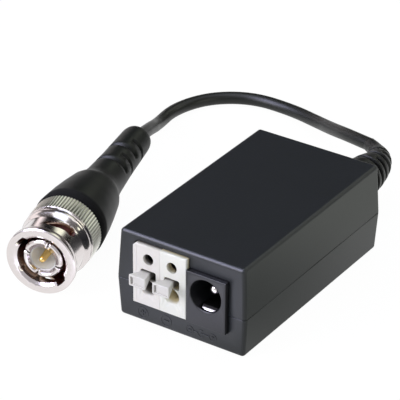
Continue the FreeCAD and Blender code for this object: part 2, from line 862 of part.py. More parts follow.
def lug_track(turn):
    """Entry notch, ramp and end hole of one bayonet track, turned about the axis."""
    cutters = []
    half = entry_width / 2
    entry = [(entry_angle + turn + half * k, -0.5, entry_depth) for k in (-1, 0, 1)]
    cutters.append(swept_sector(coupling_bore_radius - 0.6, lug_radius, entry))
    inner_track = []
    outer_slot = []
    steps = 16
    for i in range(steps + 1):
        angle = entry_angle + half + (slot_end_angle - entry_angle - half) * i / steps
        front = max(ramp_rear(angle) - slot_width, coupling_mouth_depth)
        inner_track.append((angle + turn, front, cavity_start + cavity_gap))
    for i in range(steps + 1):
        angle = slot_visible_angle + (slot_end_angle - slot_visible_angle) * i / steps
        front = max(ramp_rear(angle) - slot_width, slot_front_limit)
        outer_slot.append((angle + turn, front + slot_step, ramp_rear(angle)))
    cutters.append(swept_sector(coupling_bore_radius - 0.6, lug_radius, inner_track))
    cutters.append(swept_sector(lug_radius - 0.6, face_radius + 1, outer_slot))
    end = at_angle(coupling_bore_radius - 0.6, slot_end_station, slot_end_angle + turn)
    outward = at_angle(1, 0, slot_end_angle + turn)
    cutters.append(Part.makeCylinder(slot_width / 2 + slot_step, face_radius, end, outward))
    return cutters


def coupling_sleeve():
    outer = [(0, face_inner_radius), (0, face_radius - face_round), (face_round, face_radius),
             (face_thickness, face_radius), (face_thickness + 0.35, barrel_radius + 0.2),
             (barrel_start, barrel_radius), (barrel_end, barrel_radius),
             (barrel_end + 0.5, barrel_radius + 0.12), (barrel_end + 1.0, bead_radius - 0.25),
             (bead_start, bead_radius), (bead_end, bead_radius),
             (bead_end + rib_groove_width, bead_radius - rib_groove_depth),
             (bead_end + 2 * rib_groove_width, rib_radius), (knurl_start, rib_radius),
             (knurl_start, knurl_radius - knurl_depth),
             (coupling_length, knurl_radius - knurl_depth)]
    inner = [(coupling_length, coupling_rear_radius), (coupling_flange_end, coupling_rear_radius),
             (coupling_flange_end, neck_radius + running_gap),
             (coupling_flange_start, neck_radius + running_gap),
             (coupling_flange_start, lug_radius), (cavity_start, lug_radius),
             (cavity_start, coupling_bore_radius), (coupling_mouth_depth, coupling_bore_radius)]
    sleeve = turned(outer + inner)
    star = []
    for i in range(2 * knurl_teeth):
        angle = 180.0 * i / knurl_teeth
        radius = knurl_radius if i % 2 == 0 else knurl_radius - knurl_depth
        star.append(at_angle(radius, knurl_start, angle))
    knurl = Part.Face(Part.makePolygon(star + star[:1])).extrude(Y_AXIS * (coupling_length - knurl_start))
    core = Part.makeCylinder(coupling_rear_radius + knurl_depth, 3 * coupling_length,
                             FreeCAD.Vector(0, -coupling_length, 0), Y_AXIS)
    sleeve = sleeve.fuse(knurl.cut(core))
    for turn in (0, 180):
        for cutter in lug_track(turn):
            sleeve = sleeve.cut(cutter)
    return sleeve


def plug_body():
    clip_front = coupling_flange_end + running_gap
    clip_back = clip_front + clip_thickness + case_gap
    groove = neck_radius - clip_groove_depth
    outer = [(contact_setback, contact_inner_radius),
             (contact_setback, contact_outer_radius - contact_chamfer),
             (contact_setback + contact_chamfer, contact_outer_radius), (gasket_start, contact_outer_radius),
             (gasket_start, contact_outer_radius - gasket_seat_depth),
             (shoulder_start, contact_outer_radius - gasket_seat_depth),
             (shoulder_start, coupling_bore_radius - shoulder_gap),
             (shoulder_end, coupling_bore_radius - shoulder_gap), (shoulder_end, neck_radius),
             (clip_front, neck_radius), (clip_front, groove), (clip_back, groove),
             (clip_back, neck_radius), (body_flange_start, neck_radius),
             (body_flange_start, body_flange_radius), (body_flange_end, body_flange_radius),
             (body_flange_end, body_stem_radius - ferrule_wall), (body_end, body_stem_radius - ferrule_wall),
             (body_end, cable_radius), (insulator_end + insulator_gap, cable_radius),
             (insulator_end + insulator_gap, contact_inner_radius)]
    body = turned(outer)
    for i in range(contact_slots):
        angle = contact_slot_angle + 360 * i / contact_slots
        half = contact_slot_width / 2
        cutter = block(contact_inner_radius - 0.5, contact_outer_radius + 0.5, contact_setback - 1,
                       contact_slot_end, -half, half)
        cutter.rotate(ORIGIN, Y_AXIS, -angle)
        body = body.cut(cutter)
    return body


def plug_centre_pin():
    tip = pin_tip_station
    collar = insulator_floor + insulator_gap
    return turned([(tip, 0), (tip, pin_tip_radius * 0.5), (tip + 0.1, pin_tip_radius * 0.85),
                   (tip + 0.3, pin_tip_radius + 0.06), (tip + pin_tip_taper, pin_radius),
                   (collar, pin_radius), (collar, pin_collar_radius), (pin_end, pin_collar_radius),
                   (pin_end, 0)])


def plug_insulator():
    """White core whose thin front wall lines the contact sleeve round the pin."""
    radius = contact_inner_radius - insulator_gap
    bore = pin_collar_radius + jack_pin_gap
    hollow = radius - insulator_wall
    return turned([(insulator_start, hollow), (insulator_start, radius), (insulator_end, radius),
                   (insulator_end, 0), (pin_end + 0.1, 0), (pin_end + 0.1, bore),
                   (insulator_floor, bore), (insulator_floor, hollow)])


def wave_washer():
    """Spring washer with three waves, between the body's shoulder and the thrust washer."""
    inner = neck_radius + running_gap
    outer = coupling_bore_radius - shoulder_gap
    room = coupling_flange_start - shoulder_end - washer_thickness - 2 * running_gap
    height = room / 2 - washer_thickness / 4 - running_gap
    waves, steps = 3, 24
    sections = []
    middle = shoulder_end + running_gap / 2 + room / 2
    for i in range(steps + 1):
        angle = 360.0 * i / steps
        station = middle + (height - washer_thickness / 4) * math.cos(math.radians(waves * angle))
        low = station - washer_thickness / 4
        high = station + washer_thickness / 4
        corners = [at_angle(inner, low, angle), at_angle(outer, low, angle),
                   at_angle(outer, high, angle), at_angle(inner, high, angle)]
        sections.append(Part.makePolygon(corners + corners[:1]))
    halves = [Part.makeLoft(sections[:steps // 2 + 1], True, True),
              Part.makeLoft(sections[steps // 2:], True, True)]
    return halves[0].fuse(halves[1]).removeSplitter()


def retaining_clip():
    front = coupling_flange_end + running_gap + case_gap / 2
    ring = tube(clip_radius, neck_radius - clip_groove_depth + case_gap / 2, front, front + clip_thickness)
    return ring.cut(block(0, 2 * clip_radius, front - 1, front + 1, -0.8, 0.8))


def crimp_ferrule():
    return turned([(ferrule_start, body_stem_radius - ferrule_wall + 0.02), (ferrule_start, body_stem_radius),
                   (body_end + 0.4, body_stem_radius), (body_end + 1.2, body_stem_radius - 0.9),
                   (ferrule_end, body_stem_radius - 0.9), (ferrule_end, cable_radius + ferrule_wall),
                   (body_end + 1.2, cable_radius + ferrule_wall),
                   (body_end + 0.4, body_stem_radius - ferrule_wall + 0.02)])


def plug_boot():
    """Soft bell over the crimp, with a ribbed tail: grooves part way round, left and right in turn."""
    gap = case_gap / 2
    rim_start = coupling_length + 2 * case_gap
    flat = boot_length - boot_tip_round
    tip_radius = boot_outline[-1][1] - 0.05
    outline = [(rim_start, body_flange_radius + gap), (rim_start, boot_rim_radius - 0.35),
               (boot_rim_station, boot_rim_radius)] + boot_outline
    for i in range(5):
        turn = math.pi / 2 * i / 4
        outline.append((flat + boot_tip_round * math.sin(turn),
                        tip_radius - boot_tip_round * (1 - math.cos(turn))))
    outline += [(boot_length, 0), (ferrule_end + gap, 0), (ferrule_end + gap, body_stem_radius - 0.9 + gap),
                (body_end + 1.2, body_stem_radius - 0.9 + gap), (body_end + 0.4, body_stem_radius + gap),
                (body_flange_end + gap, body_stem_radius + gap),
                (body_flange_end + gap, body_flange_radius + gap)]
    boot = turned(outline)
    for i in range(boot_groove_count):
        station = boot_groove_first + i * boot_groove_pitch
        radius = tail_radius(station)
        middle = boot_groove_angle + 180 * (i % 2)
        cutter = arc_cutter(radius, boot_groove_depth, boot_groove_width, middle, boot_groove_sweep)
        cutter.translate(FreeCAD.Vector(0, station, 0))
        boot = boot.cut(cutter)
    return boot


def tail_radius(station):
    for (s0, r0), (s1, r1) in zip(boot_outline, boot_outline[1:]):
        if s0 <= station <= s1:
            return r0 + (r1 - r0) * (station - s0) / (s1 - s0)
    return boot_outline[-1][1]


thrust_back = coupling_flange_start - running_gap / 2
export_on_plug("coupling_sleeve", coupling_sleeve())
export_on_plug("thrust_washer", tube(coupling_bore_radius - shoulder_gap, neck_radius + running_gap,
                                     thrust_back - washer_thickness, thrust_back))
export_on_plug("wave_washer", wave_washer())
export_on_plug("plug_body", plug_body())
gasket_bore = contact_outer_radius - gasket_seat_depth + gasket_gap / 2
gasket_rim = lug_radius - 2 * gasket_gap
gasket_front = gasket_start + gasket_gap
gasket_shoulder = gasket_step + gasket_gap
export_on_plug("plug_gasket", turned([
    (gasket_front, gasket_bore), (gasket_front, gasket_lip_radius), (gasket_shoulder, gasket_lip_radius),
    (gasket_shoulder, gasket_rim), (gasket_end, gasket_rim), (gasket_end, gasket_bore)]))
export_on_plug("plug_insulator", plug_insulator())
export_on_plug("plug_centre_pin", plug_centre_pin())
export_on_plug("retaining_clip", retaining_clip())
export_on_plug("crimp_ferrule", crimp_ferrule())
export_on_plug("plug_boot", plug_boot())

# The lead: straight runs joined by tangent arcs, its ends let into the boot and the relief


def cord_tube(route, radius):
    points = [FreeCAD.Vector(*p) for p in route]
    edges = []
    at = points[0]
    for before, corner, after in zip(points, points[1:], points[2:]):
        back = before - corner
        ahead = after - corner
        reach = 0.45 * min(back.Length, ahead.Length)
        half_turn = (math.pi - back.getAngle(ahead)) / 2
        print("cord arc radius %.1f" % (reach / math.tan(half_turn)))
        back.normalize()
        ahead.normalize()
        start = corner + back * reach
        end = corner + ahead * reach
        inward = (back + ahead).normalize()
        arc_radius = reach / math.tan(half_turn)
        middle = corner + inward * (arc_radius / math.cos(half_turn) - arc_radius)
        edges.append(Part.LineSegment(at, start).toShape())
        edges.append(Part.Arc(start, middle, end).toShape())
        at = end
    edges.append(Part.LineSegment(at, points[-1]).toShape())
    path = Part.Wire(edges)
    profile = Part.Wire(Part.Circle(points[0], points[1] - points[0], radius).toShape())
    solid = path.makePipeShell([profile], True, False)
    print("cord length %.1f volume ratio %.4f"
          % (path.Length, solid.Volume / (math.pi * radius ** 2 * path.Length)))
    return solid


def let_in(end, neighbour):
    """End of the route moved into the piece that holds it."""
    a = FreeCAD.Vector(*end)
    step = a - FreeCAD.Vector(*neighbour)
    step.normalize()
    return tuple(a + step * cable_bury)


lead = list(cable_route)
lead[0] = let_in(cable_route[0], cable_route[1])
lead[-1] = let_in(cable_route[-1], cable_route[-2])
export("coax_cable", cord_tube(lead, cable_radius))
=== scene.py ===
import json
import math

import bmesh
import bpy
from mathutils import Matrix, Vector

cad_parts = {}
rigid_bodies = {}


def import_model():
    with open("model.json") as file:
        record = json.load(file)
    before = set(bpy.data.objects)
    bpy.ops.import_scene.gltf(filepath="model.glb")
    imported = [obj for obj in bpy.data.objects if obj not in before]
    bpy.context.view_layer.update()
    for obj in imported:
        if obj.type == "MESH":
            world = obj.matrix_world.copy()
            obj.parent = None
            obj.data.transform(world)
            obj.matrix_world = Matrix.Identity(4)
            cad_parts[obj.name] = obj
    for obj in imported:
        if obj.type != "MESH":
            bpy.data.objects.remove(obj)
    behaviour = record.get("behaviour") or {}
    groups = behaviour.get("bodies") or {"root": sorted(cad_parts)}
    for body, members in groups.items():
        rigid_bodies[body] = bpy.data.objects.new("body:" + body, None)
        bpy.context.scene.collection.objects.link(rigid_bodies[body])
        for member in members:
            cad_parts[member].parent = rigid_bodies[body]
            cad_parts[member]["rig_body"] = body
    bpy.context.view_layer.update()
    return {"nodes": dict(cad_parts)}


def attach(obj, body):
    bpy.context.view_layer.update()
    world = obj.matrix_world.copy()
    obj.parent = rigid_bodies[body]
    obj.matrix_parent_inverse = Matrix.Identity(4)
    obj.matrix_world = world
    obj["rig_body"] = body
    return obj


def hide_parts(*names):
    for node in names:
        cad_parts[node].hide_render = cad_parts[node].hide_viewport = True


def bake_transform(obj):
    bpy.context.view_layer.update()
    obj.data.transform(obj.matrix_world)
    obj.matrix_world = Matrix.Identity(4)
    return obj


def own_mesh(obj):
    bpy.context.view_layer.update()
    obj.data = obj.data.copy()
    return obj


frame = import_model()
nodes = frame["nodes"]


# Camera. A long lens looks down on the front from the right, as in the photograph, where
# the case's upright edges lean by less than half a degree.
right = Vector((0.83173, 0.55515, 0.00647))
up = Vector((-0.27904, 0.40793, 0.86933))
back = right.cross(up)
stand = Vector((0.202949, -0.323948, 0.234308))

camera = bpy.data.objects.new("camera", bpy.data.cameras.new("camera"))
camera.data.sensor_width = 36
camera.data.lens = 214.707
camera.data.clip_start = 0.01
camera.matrix_world = Matrix.Translation(stand) @ Matrix((right, up, back)).transposed().to_4x4()
bpy.context.scene.collection.objects.link(camera)
bpy.context.scene.camera = camera
bpy.context.scene.view_settings.view_transform = "Standard"


# Room. It is darker behind the part than in front of it. Its bright panels and dark gaps are
# seen only in reflections, and to the eye the background is plain white.
room_ambient = 0.5
room_behind = "#5f5b5b"
room_front = "#b9b8bc"
background = 1.05
white = (1, 1, 1, 1)
# Y of the direction at which the room is all dark, and at which it is all pale
room_turns = 0.2, -0.4
# Bright panels: direction, half width in degrees, strength and colour
panels = [((-0.06, 0.81, 0.58), 13, 1.4, "#e9efd8"), ((-0.68, 0.65, 0.32), 11, 1.2, "#fff4f4"),
          ((0.0, -0.15, 0.99), 24, 1.1, "#ffffff"), ((-0.45, -0.52, 0.72), 20, 11.0, "#dcdcff"),
          ((-0.93, 0.20, 0.25), 14, 1.0, "#fff6f6"), ((0.35, 0.55, 0.76), 15, 1.0, "#ffffff"),
          ((0.55, 0.70, 0.45), 12, 1.8, "#f2f5e2")]
panel_edge = 0.25
# Dark gaps: direction, half width in degrees and the share of light that is left there
gaps = [((0.33, 0.90, 0.27), 9, 0.05), ((-0.453, 0.723, 0.523), 17, 0.05)]
gap_edge = 0.4
# A Mix node's two colours go by number, because sockets of other kinds share their names
near_colour, far_colour = 6, 7


def linear(colour):
    """An sRGB hex colour as the linear colour that a shader takes."""
    shares = [int(colour[i:i + 2], 16) / 255 for i in (1, 3, 5)]
    return [s / 12.92 if s <= 0.04045 else ((s + 0.055) / 1.055) ** 2.4 for s in shares] + [1.0]


def add(tree, kind, inputs=None, **settings):
    """Adds a node, with its settings, and fills or links its inputs."""
    node = tree.nodes.new(kind)
    for name, value in settings.items():
        setattr(node, name, value)
    for socket, value in (inputs or {}).items():
        if isinstance(value, bpy.types.NodeSocket):
            tree.links.new(value, node.inputs[socket])
        else:
            node.inputs[socket].default_value = value
    return node


def fade(tree, measure, start, end, near, far, curve="LINEAR"):
    """The share and the colour of a fade from near to far, as a measure goes from start to end."""
    share = add(tree, "ShaderNodeMapRange", {"Value": measure, "From Min": start, "From Max": end},
                interpolation_type=curve)
    tone = add(tree, "ShaderNodeMix", {"Factor": share.outputs[0], near_colour: near, far_colour: far},
               data_type="RGBA")
    return share.outputs[0], tone.outputs[2]


def round_patch(tree, heading, aim, half_width, edge, outside, inside):
    """One value in a round patch of the room and another outside it, with a soft edge."""
    nearness = add(tree, "ShaderNodeVectorMath", {0: heading, 1: Vector(aim).normalized()},
                   operation="DOT_PRODUCT")
    share = add(tree, "ShaderNodeMapRange",
                {"Value": nearness.outputs["Value"],
                 "From Min": math.cos(math.radians(half_width * (1 + edge))),
                 "From Max": math.cos(math.radians(half_width * (1 - edge))),
                 "To Min": outside, "To Max": inside}, interpolation_type="SMOOTHSTEP")
    return share.outputs[0]


def mirrored_rays(tree, rays):
    """One for a ray that was reflected or went through glass, and nought for any other."""
    both = add(tree, "ShaderNodeMath",
               {0: rays.outputs["Is Glossy Ray"], 1: rays.outputs["Is Transmission Ray"]},
               operation="MAXIMUM")
    return both.outputs[0]


world = bpy.data.worlds.new("room")
bpy.context.scene.world = world
world.use_nodes = True
tree = world.node_tree
tree.nodes.clear()
rays = add(tree, "ShaderNodeLightPath")
heading = add(tree, "ShaderNodeTexCoord").outputs["Generated"]
axes = add(tree, "ShaderNodeSeparateXYZ", {0: heading})
colour = fade(tree, axes.outputs["Y"], *room_turns, linear(room_behind), linear(room_front))[1]
for aim, half_width, strength, tint in panels:
    share = round_patch(tree, heading, aim, half_width, panel_edge, 0.0, strength)
    patch = add(tree, "ShaderNodeVectorMath", {0: linear(tint)[:3], "Scale": share}, operation="SCALE")
    total = add(tree, "ShaderNodeVectorMath", {0: colour, 1: patch.outputs[0]}, operation="ADD")
    colour = total.outputs[0]
for aim, half_width, left in gaps:
    share = round_patch(tree, heading, aim, half_width, gap_edge, 1.0, left)
    total = add(tree, "ShaderNodeVectorMath", {0: colour, "Scale": share}, operation="SCALE")
    colour = total.outputs[0]
soft = add(tree, "ShaderNodeBackground", {"Color": white, "Strength": room_ambient})
mirrored = add(tree, "ShaderNodeBackground", {"Color": colour, "Strength": 1.0})
plain = add(tree, "ShaderNodeBackground", {"Color": white, "Strength": background})
lit = add(tree, "ShaderNodeMixShader",
          {0: mirrored_rays(tree, rays), 1: soft.outputs[0], 2: mirrored.outputs[0]})
shown = add(tree, "ShaderNodeMixShader",
            {0: rays.outputs["Is Camera Ray"], 1: lit.outputs[0], 2: plain.outputs[0]})
add(tree, "ShaderNodeOutputWorld", {"Surface": shown.outputs[0]})

# Table. A matt white board, larger than the picture. Most of it glows, so that it shows white,
# and the rest is lit by the lamps, which keeps the part's shadow on it.
table_half_width = 3
table_height = -0.00002
table_glow = 0.94
table_seen = (1.03, 1.03, 1.03, 1)
# Painted light on the table, seen only in reflections: a painted pool of light before the case's front, a
# painted shadow beside its right front corner and a slight painted tint further right and behind. Place and
# reach in metres, and change of colour there
table_painted_light = [((-0.005, -0.046), 0.030, (1.5, 1.5, 1.95)),
                 ((0.034, -0.008), 0.044, (-0.7, -0.68, -0.72)),
                 ((0.050, 0.040), 0.050, (-0.06, 0.0, -0.14))]

table = bpy.data.materials.new("white_table")
table.use_nodes = True
tree = table.node_tree
tree.nodes.clear()
rays = add(tree, "ShaderNodeLightPath")
mirrored = mirrored_rays(tree, rays)
sight = add(tree, "ShaderNodeMath", {0: rays.outputs["Is Camera Ray"], 1: mirrored}, operation="MAXIMUM")
sight = add(tree, "ShaderNodeMath", {0: sight.outputs[0], 1: table_glow}, operation="MULTIPLY")
place = add(tree, "ShaderNodeTexCoord").outputs["Object"]
colour = (1.0, 1.0, 1.0)
for spot, reach, change in table_painted_light:
    away = add(tree, "ShaderNodeVectorMath", {0: place, 1: (*spot, 0.0)}, operation="DISTANCE")
    share = add(tree, "ShaderNodeMapRange", {"Value": away.outputs["Value"], "From Max": reach,
                                             "To Min": 1.0, "To Max": 0.0}, interpolation_type="SMOOTHSTEP")
    patch = add(tree, "ShaderNodeVectorMath", {0: change, "Scale": share.outputs[0]}, operation="SCALE")
    total = add(tree, "ShaderNodeVectorMath", {0: patch.outputs[0], 1: colour}, operation="ADD")
    colour = total.outputs[0]
seen = add(tree, "ShaderNodeMix", {"Factor": mirrored, near_colour: table_seen, far_colour: colour},
           data_type="RGBA")
matt = add(tree, "ShaderNodeBsdfDiffuse", {"Color": linear("#e8e8e8")})
glow = add(tree, "ShaderNodeEmission", {"Color": seen.outputs[2], "Strength": 1.0})
mixed = add(tree, "ShaderNodeMixShader", {0: sight.outputs[0], 1: matt.outputs[0], 2: glow.outputs[0]})
add(tree, "ShaderNodeOutputMaterial", {"Surface": mixed.outputs[0]})

mesh = bpy.data.meshes.new("table")
form = bmesh.new()
bmesh.ops.create_grid(form, x_segments=1, y_segments=1, size=table_half_width)
form.to_mesh(mesh)
form.free()
mesh.materials.append(table)
floor = bpy.data.objects.new("table", mesh)
floor.location.z = table_height
bpy.context.scene.collection.objects.link(floor)

# Lamps. Three soft boxes aim at the part: a strong one at its front left, and weaker ones at
# its right and above it. Each has its place and width in metres, its power and its tint.
lamps = [("lamp_front", (-0.36, -0.66, 0.34), 0.4, 3.4, "#f7f5ff"),
         ("lamp_side", (0.65, -0.05, 0.25), 0.4, 0.9, "#fbffe9"),
         ("lamp_top", (-0.05, 0.15, 0.75), 0.5, 0.9, "#dfe8ff")]
for name, spot, width, power, tint in lamps:
    lamp = bpy.data.objects.new(name, bpy.data.lights.new(name, "AREA"))
    lamp.data.size = width
    lamp.data.energy = power
    lamp.data.color = linear(tint)[:3]
    lamp.location = spot
    lamp.rotation_euler = (-Vector(spot)).to_track_quat("-Z", "Y").to_euler()
    bpy.context.scene.collection.objects.link(lamp)


# Case. Two shells of injection-moulded ABS meet at a thin parting line and snap together over
# a tongue. Spark-eroded moulds leave a fine satin grain on their slightly clouded blue-black.
merge_distance = 1e-6


def surface(name, colour, roughness, metallic=0.0):
    """A Principled material, its node tree, its shader and the piece's own coordinates."""
    material = bpy.data.materials.new(name)
    material.use_nodes = True
    shader = material.node_tree.nodes["Principled BSDF"]
    shader.inputs["Base Color"].default_value = linear(colour)
    shader.inputs["Roughness"].default_value = roughness
    shader.inputs["Metallic"].default_value = metallic
    place = add(material.node_tree, "ShaderNodeTexCoord")
    return material, material.node_tree, shader, place.outputs["Object"]


def grained(tree, shader, place, per_mm, strength, height):
    """Roughens a surface with grains: their count to the millimetre and height in millimetres."""
    grain = add(tree, "ShaderNodeTexNoise", {"Vector": place, "Scale": per_mm * 1000})
    bump = add(tree, "ShaderNodeBump", {"Height": grain.outputs["Fac"], "Strength": strength,
                                        "Distance": height / 1000})
    tree.links.new(bump.outputs["Normal"], shader.inputs["Normal"])


def skin(node, material, smooth_angle=None):
    """Gives a CAD node its material, or shows a merged and smoothly shaded copy of it in its place."""
    source = nodes[node]
    if smooth_angle is None:
        source.data.materials.clear()
        source.data.materials.append(material)
        return source
    form = bmesh.new()
    form.from_mesh(source.data)
    bmesh.ops.remove_doubles(form, verts=form.verts, dist=merge_distance)
    mesh = bpy.data.meshes.new("smooth_" + node)
    form.to_mesh(mesh)
    form.free()
    mesh.materials.clear()
    mesh.materials.append(material)
    mesh.polygons.foreach_set("use_smooth", [True] * len(mesh.polygons))
    mesh.polygons.foreach_set("material_index", [0] * len(mesh.polygons))
    mesh.set_sharp_from_angle(angle=math.radians(smooth_angle))
    piece = bpy.data.objects.new("smooth_" + node, mesh)
    bpy.context.scene.collection.objects.link(piece)
    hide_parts(node)
    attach(piece, source["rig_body"])
    flat = piece.modifiers.new("flat_faces", "WEIGHTED_NORMAL")
    flat.mode = "FACE_AREA"
    flat.keep_sharp = True
    return piece


# The real grain is finer. It is drawn coarse enough to soften the highlights
abs_plastic, tree, shader, place = surface("moulded_abs", "#15191d", 0.42)
clouds = add(tree, "ShaderNodeTexNoise", {"Vector": place, "Scale": 0.14 * 1000, "Detail": 3.0})
shade = add(tree, "ShaderNodeMix", {"Factor": clouds.outputs["Fac"], near_colour: linear("#13171b"),
                                    far_colour: linear("#181c20")}, data_type="RGBA")
tree.links.new(shade.outputs[2], shader.inputs["Base Color"])
grained(tree, shader, place, per_mm=2.6, strength=0.25, height=0.06)
for shell in ("upper_shell", "lower_shell"):
    skin(shell, abs_plastic, 35)

# Raised signs. Moulded with the lower shell in one line on its front: plus and minus under
# the wire terminal, and under the jack the mark for a plug with plus on its pin.
sign_line = (0.0, -0.02347, 0.00205)
sign_draft = 2.2
stroke = 0.00008
bar_depth = 0.24
bar_edge = 0.00006
# Places along the line and sizes, in millimetres. The last two bars join the signs of the jack
plus, minus = -8.26, -3.12
jack_minus, jack_middle, jack_plus = 2.0, 4.45, 6.9
rings = [(plus, 1.1, 360), (minus, 1.1, 360), (jack_minus, 0.75, 360), (jack_plus, 0.75, 360),
         (jack_middle, 0.75, 250), (jack_middle, 0.12, 360)]
bars = [(plus, 1.1, 0.26), (plus, 0.26, 1.1), (minus, 1.1, 0.26), (jack_minus, 0.7, 0.22),
        (jack_plus, 0.7, 0.22), (jack_plus, 0.22, 0.7), (3.23, 0.95, 0.22), (5.3, 1.6, 0.22)]

signs = bmesh.new()
for x, radius, sweep in rings:
    line = bmesh.new()
    rim = bmesh.ops.create_circle(line, segments=8, radius=stroke)["verts"]
    bmesh.ops.translate(line, verts=rim, vec=(radius / 1000, 0, 0))
    bmesh.ops.rotate(line, verts=rim, cent=(0, 0, 0),
                     matrix=Matrix.Rotation(math.radians(-(360 - sweep) / 2), 3, "Y"))
    bmesh.ops.spin(line, geom=line.verts[:] + line.edges[:], cent=(0, 0, 0), axis=(0, -1, 0),
                   angle=math.radians(sweep), steps=48, use_merge=sweep == 360)
    bmesh.ops.holes_fill(line, edges=[edge for edge in line.edges if edge.is_boundary])
    bmesh.ops.recalc_face_normals(line, faces=line.faces)
    bmesh.ops.translate(line, verts=line.verts, vec=(x / 1000, 0, 0))
    part = bpy.data.meshes.new("round_line")
    line.to_mesh(part)
    line.free()
    signs.from_mesh(part)
for x, width, height in bars:
    bar = bmesh.ops.create_cube(signs, size=0.001)["verts"]
    bmesh.ops.scale(signs, verts=bar, vec=(width, bar_depth, height))
    bmesh.ops.translate(signs, verts=bar, vec=(x / 1000, 0, 0))
    edges = list({edge for vert in bar for edge in vert.link_edges})
    bmesh.ops.bevel(signs, geom=edges, offset=bar_edge, segments=2, profile=0.5, affect="EDGES", material=-1)
signs.transform(Matrix.Translation(sign_line) @ Matrix.Rotation(math.radians(sign_draft), 4, "X"))
mesh = bpy.data.meshes.new("polarity_signs")
signs.to_mesh(mesh)
signs.free()
mesh.materials.append(abs_plastic)
raised = bpy.data.objects.new("polarity_signs", mesh)
bpy.context.scene.collection.objects.link(raised)
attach(raised, "case")


# Circuit board. Glass cloth in epoxy carries a wound ferrite ring, a moulded chip and diode and
# a capacitor in a drawn can, all soldered to it. The closed case hides them.
def wander(tree, place, per_mm, low, high, detail=2.0):
    """A value that wanders between low and high, in clouds counted to the millimetre."""
    clouds = add(tree, "ShaderNodeTexNoise", {"Vector": place, "Scale": per_mm * 1000, "Detail": detail})
    value = add(tree, "ShaderNodeMapRange", {"Value": clouds.outputs["Fac"], "To Min": low, "To Max": high})
    return value.outputs[0]


# Green solder mask, half glossy, with the faint weave of the glass under it
laminate, tree, shader, place = surface("glass_epoxy_board", "#1f5a34", 0.35)
grained(tree, shader, place, per_mm=0.9, strength=0.2, height=0.03)
skin("circuit_board", laminate)

# Dull and slightly porous
ferrite, tree, shader, place = surface("sintered_ferrite", "#45454a", 0.7)
grained(tree, shader, place, per_mm=1.8, strength=0.3, height=0.04)
skin("balun_core", ferrite)

# Bright metal under clear enamel
copper, tree, shader, place = surface("enamelled_copper", "#b8683c", 0.25, 1.0)
tree.links.new(wander(tree, place, 0.7, 0.2, 0.4), shader.inputs["Roughness"])
skin("balun_winding", copper)

# Even and half matt
epoxy, tree, shader, place = surface("moulded_epoxy", "#1d1d1f", 0.5)
grained(tree, shader, place, per_mm=2.5, strength=0.2, height=0.03)
for package in ("amplifier_chip", "surge_diode"):
    skin(package, epoxy)

# Silvery, with soft highlights
can, tree, shader, place = surface("drawn_aluminium", "#c9cacb", 0.28, 1.0)
tree.links.new(wander(tree, place, 0.5, 0.22, 0.38), shader.inputs["Roughness"])
skin("smoothing_capacitor", can)

# Wire terminal. Polyamide modules stand in a row behind an end plate, the right one of them in a yellower
# natural grade. They are slightly waxy. Behind their front their colour is painted darker, yellower in the
# natural grade, a painted shade where less light gets in.
module_front = -0.0242
# Metres behind that front where the painted shade begins and where it is full
module_painted_shade = 0.0001, 0.0010
grades = [("moulded_polyamide", "#ebe8e5", "#59544e", ("terminal_end_plate", "terminal_module_left")),
          ("natural_polyamide", "#f0f1ec", "#ccc09c", ("terminal_module_right",))]
for name, face, painted_deep, pieces in grades:
    polyamide, tree, shader, place = surface(name, face, 0.45)
    depth = add(tree, "ShaderNodeSeparateXYZ", {0: place}).outputs["Y"]
    # Painted shade: the colour darkens behind the modules' front
    tone = fade(tree, depth, *[module_front + behind for behind in module_painted_shade],
                linear(face), linear(painted_deep), "SMOOTHSTEP")[1]
    tone = add(tree, "ShaderNodeVectorMath", {0: tone, "Scale": wander(tree, place, 0.26, 0.93, 1.05)},
               operation="SCALE")
    tree.links.new(tone.outputs[0], shader.inputs["Base Color"])
    grained(tree, shader, place, per_mm=2.4, strength=0.12, height=0.04)
    shader.inputs["Subsurface Weight"].default_value = 0.1
    shader.inputs["Subsurface Radius"].default_value = (1.0, 0.85, 0.55)
    shader.inputs["Subsurface Scale"].default_value = 0.0004
    for piece in pieces:
        skin(piece, polyamide, 30)

# Buttons. One in each module, moulded in light grey polyamide and kept in by its foot. Pushed in, it bends
# back the spring that clamps the wire. Its sides are painted darker inside the module, a painted shade.
button_colour = "#dcdad8"
# Metres behind the modules' front where the painted shade begins and where it is full
button_painted_shade = -0.0003, 0.0005
button_grey, tree, shader, place = surface("moulded_button_polyamide", button_colour, 0.42)
depth = add(tree, "ShaderNodeSeparateXYZ", {0: place}).outputs["Y"]
# Painted shade: darker grey deeper inside the module
tone = fade(tree, depth, *[module_front + behind for behind in button_painted_shade],
            linear(button_colour), linear("#6f6b67"), "SMOOTHSTEP")[1]
tree.links.new(tone, shader.inputs["Base Color"])
grained(tree, shader, place, per_mm=2.4, strength=0.12, height=0.04)
for side in ("left", "right"):
    skin("button_" + side, button_grey)

# Clamp springs and contact bars. Each spring is bent from bright rolled steel strip, and in the real
# terminal it bends further as its button comes in; here its copy is taken off its body and fixed where it
# stands. Each bar is stamped from copper and tinned, which is duller.
spring_steel, tree, shader, place = surface("bright_spring_steel", "#b9b8b4", 0.25, 1.0)
tree.links.new(wander(tree, place, 1.5, 0.18, 0.34), shader.inputs["Roughness"])
tinned, tree, shader, place = surface("tinned_copper", "#c8c4bc", 0.35, 1.0)
tree.links.new(wander(tree, place, 1.2, 0.28, 0.45), shader.inputs["Roughness"])
for side in ("left", "right"):
    clamp = skin("clamp_spring_" + side, spring_steel, 30)
    clamp.parent = None
    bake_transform(clamp)
    skin("contact_bar_" + side, tinned)

# Power jack. A block moulded in black PBT, soldered to the board beside the terminal, with a
# round socket. It is a little smoother than the case.
pbt, tree, shader, place = surface("moulded_pbt", "#17181c", 0.42)
grained(tree, shader, place, per_mm=2.6, strength=0.15, height=0.04)
skin("jack_housing", pbt, 30)

# Jack contacts. Strips of tinned bronze lie along the socket's wall, and their tails go down to the board.
# They are bright at the mouth; further in they are rougher and their colour is painted nearly black, a
# painted shade.
leaf_bright = "#d6d2ca"
